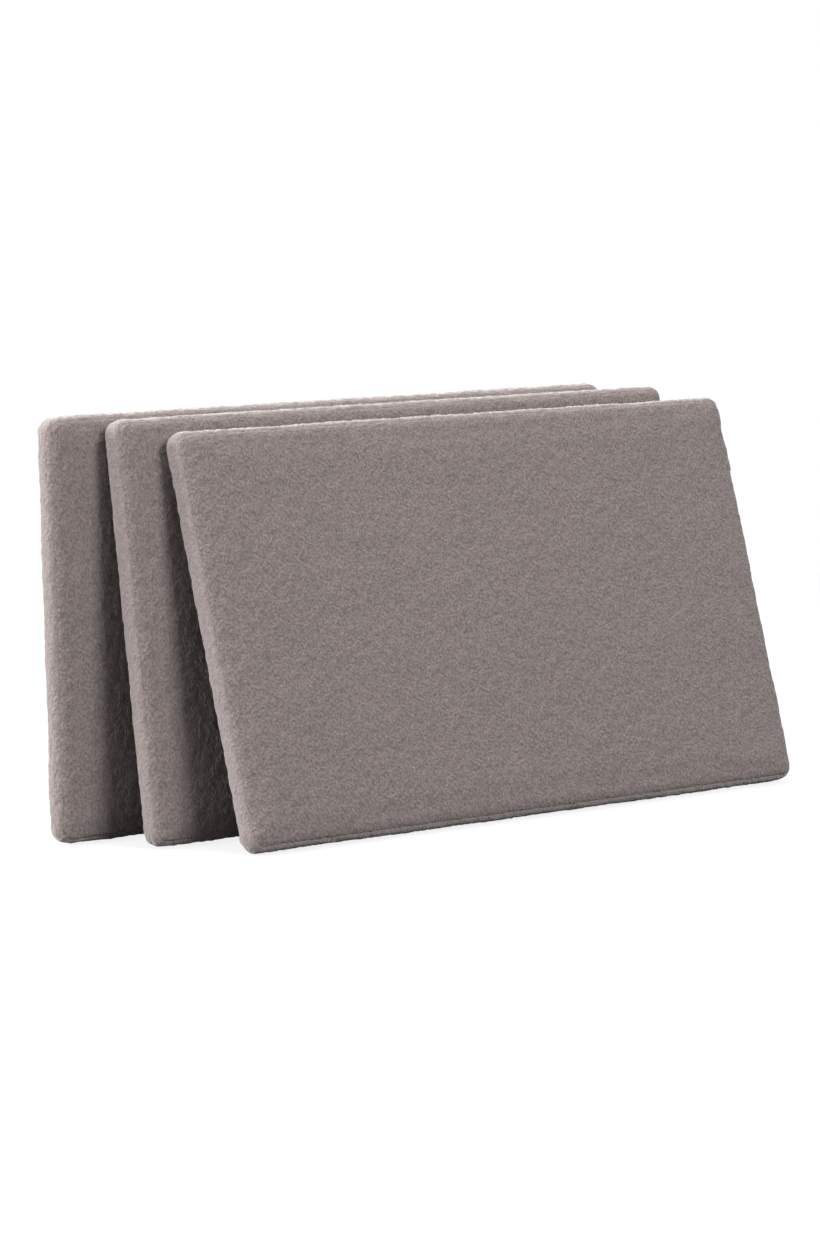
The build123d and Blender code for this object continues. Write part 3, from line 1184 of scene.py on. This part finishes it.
    def slider(self) -> bpy.types.Object:
        """Casts the slider: two plates, two cheeks, a neck and the loop for the pull.

        Returns:
            The slider.
        """
        mid, low, high = self.middle, ZIP.slider_low, ZIP.slider_high
        start = (ZIP.plate_low, mid - ZIP.half_wide, low)
        plate = add_block("plate", start, (ZIP.plate_top, mid + ZIP.half_wide, high))
        with editing(plate):
            slice_at((0, 0, low + (high - low) / 3), (0, 0, 1))
            slice_at((0, 0, high - 0.0022), (0, 0, 1))
            for end, taper in ((low, 1 - 0.0012 / ZIP.half_wide), (high, 0.80)):
                choose(plate, "faces", lambda f: abs(f.calc_center_median().z - end) < TOUCH)
                bpy.ops.transform.resize(value=(1, taper, 1), center_override=(0, mid, end))
        round_edges(plate, 0.00045, 3)
        parts = [plate]
        for side in (-1, 1):
            near, far = self.across(side, ZIP.row_out + 0.0003, ZIP.half_wide - 0.0001)
            start = (ZIP.tape_top + 0.0003, near, low + 0.0030)
            cheek = add_block("cheek", start, (ZIP.plate_low + 0.0005, far, high - 0.0020))
            round_edges(cheek, 0.0003, 2)
            parts.append(cheek)
        shoe_top = ZIP.tape_top - ZIP.tape_thick - 0.0003
        start = (shoe_top - 0.001, mid - 0.0035, low)
        shoe = add_block("shoe", start, (shoe_top, mid + 0.0035, high))
        round_edges(shoe, 0.0004, 2)
        neck = add_block(
            "neck",
            (shoe_top - 0.0002, mid - 0.00035, SIZES.pin_up - 0.0025),
            (ZIP.plate_low + 0.0002, mid + 0.00035, SIZES.pin_up + 0.0025),
        )
        round_edges(neck, 0.0001, 1)
        pick()
        bpy.ops.mesh.primitive_torus_add(
            major_segments=28,
            minor_segments=10,
            major_radius=ZIP.loop_radius,
            minor_radius=ZIP.loop_wire,
            location=(SIZES.pin_out, mid, SIZES.pin_up),
            rotation=(np.pi / 2, 0, 0),
        )
        loop = bpy.context.object
        bpy.ops.object.transform_apply(location=True, rotation=True, scale=True)
        spots = places(loop)
        spots[:, 1] = mid + (spots[:, 1] - mid) * ZIP.loop_widen
        put(loop, spots)
        parts += [shoe, neck, loop]
        slider = merge("slider", *parts)
        smooth_over(slider, 50)
        return slider

    def pull(self) -> bpy.types.Object:
        """Cuts the pull: a tapered tab with a fork on its pin and an eye at its tail.

        Returns:
            The pull, hanging down along the zip.
        """
        mid, top = self.middle, SIZES.pin_up + 0.001
        out = SIZES.pin_out + 0.0002
        half, tail = ZIP.pull_wide / 2, top - ZIP.pull_long
        near, far = out - ZIP.pull_thick / 2, out + ZIP.pull_thick / 2
        tab = add_block("pull", (near, mid - half, tail), (far, mid + half, top))
        with editing(tab):
            for at in (top - 0.0065, top - 0.011, tail + 0.006):
                slice_at((0, 0, at), (0, 0, 1))
        spots = places(tab)
        levels = [tail, tail + 0.006, top - 0.011, top - 0.0065, top]
        wide = np.interp(spots[:, 2], levels, [0.9, 1.0, 0.74, 0.92, 0.92])
        spots[:, 1] = mid + (spots[:, 1] - mid) * wide
        put(tab, spots)
        with editing(tab, "EDGE"):
            choose(
                tab,
                "edges",
                lambda e: abs(e.verts[0].co.x - e.verts[1].co.x) > 0.001
                and all(abs(v.co.z - tail) < TOUCH for v in e.verts),
            )
            bpy.ops.mesh.bevel(offset=0.0018, segments=5, profile=0.5, affect="EDGES")
        start = (out - 0.002, mid - 0.0011, top - 0.005)
        carve(tab, add_block("fork", start, (out + 0.002, mid + 0.0011, top + 0.001)))
        carve(tab, add_rod("eye", (out, mid, tail + ZIP.eye_up), ZIP.eye_radius, 0.004, "X", 20))
        round_edges(tab, 0.0002, 2, 35)
        middle = (SIZES.pin_out, mid, SIZES.pin_up)
        pin = add_rod("pin", middle, ZIP.pin_radius, ZIP.pin_long, "Y", 16)
        pull = merge("pull", tab, pin)
        smooth_over(pull, 40)
        return pull

    def build(self) -> None:
        """Makes the whole zip and reports each of its pieces."""
        pad, place = self.pad, self.place
        for side, end in ((-1, "front"), (1, "back")):
            tape = named(self.tape(side), f"{pad}_tape_{end}")
            settle_piece(tape, place, pad, "tape", f"{pad}_zip_tape_{end}")
            teeth = named(self.row(side), f"{pad}_teeth_{end}")
            settle_piece(teeth, place, pad, "teeth", f"{pad}_zip_teeth_{end}")
        stops = named(self.stops(), f"{pad}_stops")
        settle_piece(stops, place, pad, "metal", f"{pad}_zip_stops")
        slider = named(self.slider(), f"{pad}_slider_body")
        settle_piece(slider, place, f"{pad}_slider", "metal", f"{pad}_zip_slider")
        pull = named(self.pull(), f"{pad}_pull_tab")
        settle_piece(pull, place, f"{pad}_pull", "metal", f"{pad}_zip_pull")


# --- Floor, lights and camera -----------------------------------------------------------------


def seen_plainly(tree: bpy.types.NodeTree) -> bpy.types.NodeSocket:
    """Adds nodes that give 1 to rays from the camera or off gloss, and 0 to all others.

    Args:
        tree: The material's or world's nodes.

    Returns:
        The output with that number.
    """
    path = tree.nodes.new("ShaderNodeLightPath")
    seen = tree.nodes.new("ShaderNodeMath")
    seen.operation = "MAXIMUM"
    tree.links.new(path.outputs["Is Camera Ray"], seen.inputs[0])
    tree.links.new(path.outputs["Is Glossy Ray"], seen.inputs[1])
    return seen.outputs[0]


@dataclass
class Studio:
    """The pale floor, the soft lights and the camera."""

    world_level: float = 0.07
    lens: float = 134.5
    eye: tuple[float, float, float] = (-2.8763, -3.3886, 0.7303)
    look: tuple[float, float, float] = (0.6389, 0.7598, -0.1208)

    def floor(self) -> None:
        """Lays a wide pale floor that the camera sees as white but for the soft shadow."""
        pick()
        bpy.ops.mesh.primitive_plane_add(size=60, location=(0, 0, -0.0005))
        floor = bpy.context.object
        floor.name = "floor"
        n = Nodes("pale_floor")
        fill(n.shader, {"Base Color": (0.2, 0.2, 0.2, 1), "Roughness": 1.0})
        fill(n.shader, {"Specular IOR Level": 0.0})
        pale = n.add("ShaderNodeBsdfDiffuse")
        fill(pale, {"Color": (0.95, 0.95, 0.95, 1)})
        glow = n.add("ShaderNodeEmission")
        where = n.add("ShaderNodeTexCoord")
        reach = n.add("ShaderNodeVectorMath", operation="LENGTH")
        share = n.add("ShaderNodeMapRange", interpolation_type="SMOOTHSTEP")
        fill(share, {"From Min": 0.6, "From Max": 2.2, "To Min": 0.84, "To Max": 1.0})
        n.join(where.outputs["Object"], reach.inputs[0])
        n.join(reach.outputs["Value"], share.inputs["Value"])
        white = n.add("ShaderNodeMixShader")
        n.join(share.outputs["Result"], white.inputs["Fac"])
        n.join(pale.outputs[0], white.inputs[1])
        n.join(glow.outputs[0], white.inputs[2])
        mix = n.add("ShaderNodeMixShader")
        n.join(seen_plainly(n.tree), mix.inputs["Fac"])
        n.join(n.shader.outputs[0], mix.inputs[1])
        n.join(white.outputs[0], mix.inputs[2])
        n.join(mix.outputs[0], n.tree.nodes["Material Output"].inputs["Surface"])
        floor.data.materials.append(n.material)

    def world(self) -> None:
        """Sets an even pale sky that the camera sees as white."""
        world = bpy.data.worlds.new("studio")
        bpy.context.scene.world = world
        world.use_nodes = True
        tree = world.node_tree
        sky = tree.nodes["Background"]
        fill(sky, {"Strength": self.world_level, "Color": (1.0, 1.0, 1.0, 1.0)})
        white = tree.nodes.new("ShaderNodeBackground")
        fill(white, {"Color": (1.0, 1.0, 1.0, 1.0)})
        mix = tree.nodes.new("ShaderNodeMixShader")
        tree.links.new(seen_plainly(tree), mix.inputs["Fac"])
        tree.links.new(sky.outputs[0], mix.inputs[1])
        tree.links.new(white.outputs[0], mix.inputs[2])
        tree.links.new(mix.outputs[0], tree.nodes["World Output"].inputs["Surface"])

    def lamp(self, name: str, spot: Sequence[float], size: float, watts: float) -> None:
        """Hangs a square soft lamp that faces the row.

        Args:
            name: The lamp's name.
            spot: Where it hangs.
            size: The length of its sides.
            watts: Its power.
        """
        light = bpy.data.lights.new(name, "AREA")
        light.size = size
        light.energy = watts
        lamp = bpy.data.objects.new(name, light)
        bpy.context.scene.collection.objects.link(lamp)
        lamp.location = spot
        aim = Vector((0, 0, 0.2)) - Vector(spot)
        lamp.rotation_euler = aim.to_track_quat("-Z", "Y").to_euler()

    def camera(self) -> None:
        """Sets the camera at its height and angle to the row."""
        data = bpy.data.cameras.new("camera")
        data.lens = self.lens
        data.sensor_width = 36
        camera = bpy.data.objects.new("camera", data)
        bpy.context.scene.collection.objects.link(camera)
        camera.location = self.eye
        camera.rotation_euler = Vector(self.look).to_track_quat("-Z", "Y").to_euler()
        bpy.context.scene.camera = camera

    def build(self) -> None:
        """Sets up the whole studio."""
        self.floor()
        self.world()
        self.lamp("front_soft", (0.3, -3.3, 2.6), 1.7, 124)
        self.lamp("left_soft", (-4.0, 0.2, 1.6), 1.6, 142)
        self.lamp("left_back", (-3.2, 3.2, 1.9), 1.8, 200)
        self.lamp("top_soft", (-0.3, 0.4, 4.2), 2.2, 105)
        self.lamp("right_back", (3.6, 2.6, 2.2), 2.0, 100)
        self.camera()
        bpy.context.scene.view_settings.view_transform = "Standard"


# --- All together -----------------------------------------------------------------------------


def main() -> None:
    """Builds the row of pads and the studio round it."""
    logging.basicConfig(level=logging.INFO, format="%(name)s: %(message)s")
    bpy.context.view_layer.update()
    DRESSES.update(
        panel=FACE_PILE.material(),
        band=BAND_PILE_PAINTED_LIGHTER.material(),
        thread=SEAM_THREAD.material(),
        foam=FOAM.material(),
        liner=LINER.material(),
        tape=TAPE.material(),
        teeth=TEETH.material(),
        metal=METAL.material(),
    )
    for seed, pad in enumerate(("front_pad", "middle_pad", "back_pad"), start=1):
        place = pad_place(pad)
        Cover(pad, seed, place).build()
        Core(pad, seed, place).build()
        Zip(pad, seed, place).build()
    Studio().build()


if __name__ == "__main__":
    main()
